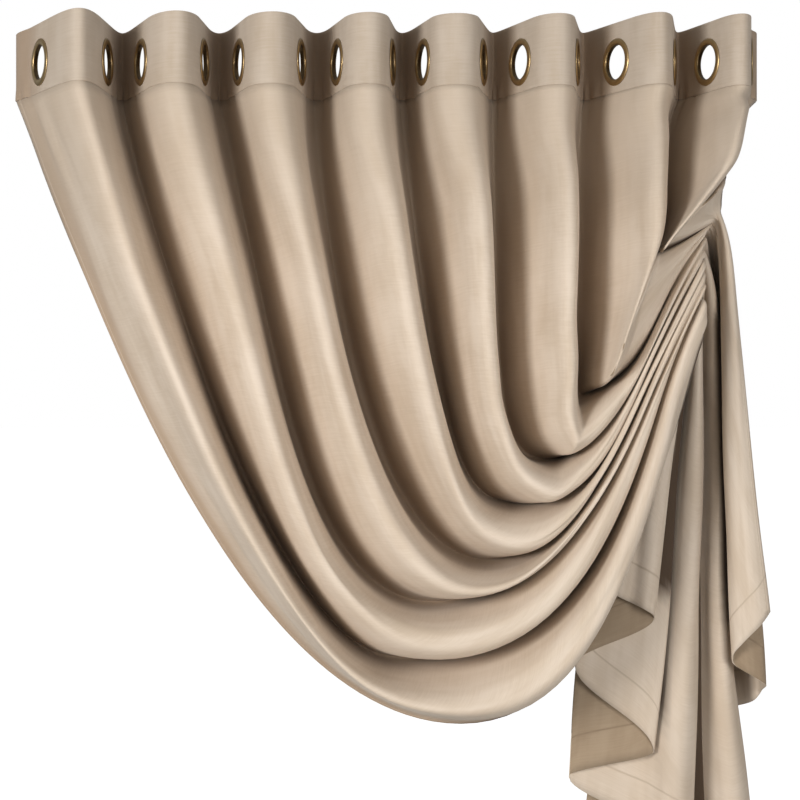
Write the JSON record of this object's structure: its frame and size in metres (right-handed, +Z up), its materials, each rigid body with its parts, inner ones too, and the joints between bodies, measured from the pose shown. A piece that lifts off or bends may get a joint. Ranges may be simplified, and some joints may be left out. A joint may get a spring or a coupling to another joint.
{
  "type": "eyelet curtain held aside",
  "caption": "Velvet curtain with a waved heading on brass eyelets, swept to one side in deep swags, gathered there and falling in a stepped tail.",
  "frame": {"origin": "middle of the heading's top edge, in the plane of the eyelet centres", "axes": "+X along the heading towards the gathered side, +Z up, -Y towards the room"},
  "size_m": [0.9225, 0.2672, 1.0721],
  "materials": {
    "velvet": "soft pile velvet",
    "heading_velvet": "stiffened velvet band",
    "brass": "antique, half matt"
  },
  "bodies": {
    "root": {"curtain": "velvet", "heading": "heading_velvet", "eyelet_01": "brass", "eyelet_02": "brass", "eyelet_03": "brass", "eyelet_04": "brass", "eyelet_05": "brass", "eyelet_06": "brass", "eyelet_07": "brass", "eyelet_08": "brass", "eyelet_09": "brass", "eyelet_10": "brass", "eyelet_11": "brass", "eyelet_12": "brass", "eyelet_13": "brass", "eyelet_14": "brass", "eyelet_15": "brass", "eyelet_16": "brass"}
  },
  "joints": []
}
